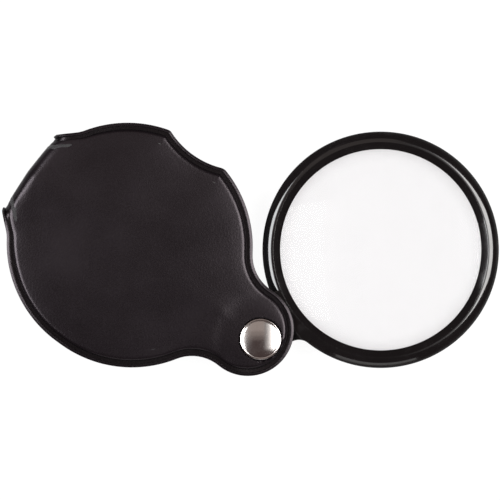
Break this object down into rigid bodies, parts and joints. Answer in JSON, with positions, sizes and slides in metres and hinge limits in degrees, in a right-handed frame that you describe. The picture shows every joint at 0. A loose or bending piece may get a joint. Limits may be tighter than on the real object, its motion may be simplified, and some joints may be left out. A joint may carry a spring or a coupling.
{
  "type": "folding pocket magnifier",
  "caption": "Round biconvex magnifying lens in a moulded frame that swings out on a cap rivet from between the two padded flaps of a soft folding case.",
  "frame": {"origin": "middle of the bounding box, on the plane that the case's back flap rests on, with the lens swung out", "axes": "+X from the case towards the lens, along the longest side; +Z out of the front flap, through the thickness"},
  "size_m": [0.1433, 0.0727, 0.012],
  "materials": {
    "coated_fabric": "smooth black coated fabric, fine grain, satin",
    "lining": "matt black",
    "greyboard": "raw grey board",
    "foam": "thin open foam",
    "bright_nickel": "bright nickel plate",
    "plated_tube": "dull plated steel",
    "nylon": "natural nylon",
    "black_plastic": "glossy black moulded plastic",
    "crown_glass": "polished clear glass, ground edge"
  },
  "bodies": {
    "case": {"case_outer_skin": "coated_fabric", "case_lining": "lining", "front_stiffener_board": "greyboard", "back_stiffener_board": "greyboard", "front_foam_pad": "foam", "back_foam_pad": "foam", "rivet_front_cap": "bright_nickel", "rivet_back_cap": "bright_nickel", "rivet_post": "plated_tube", "rivet_socket": "plated_tube", "pivot_sleeve": "nylon", "front_washer": "nylon", "back_washer": "nylon"},
    "lens_holder": {"lens_frame": "black_plastic", "lens_retaining_ring": "black_plastic", "lens": "crown_glass"}
  },
  "joints": [
    {"name": "lens_swing", "type": "hinge", "parent": "case", "child": "lens_holder", "pos_m": [0.0031, -0.0258, 0.006], "axis": [0, 0, 1], "continuous": true}
  ]
}
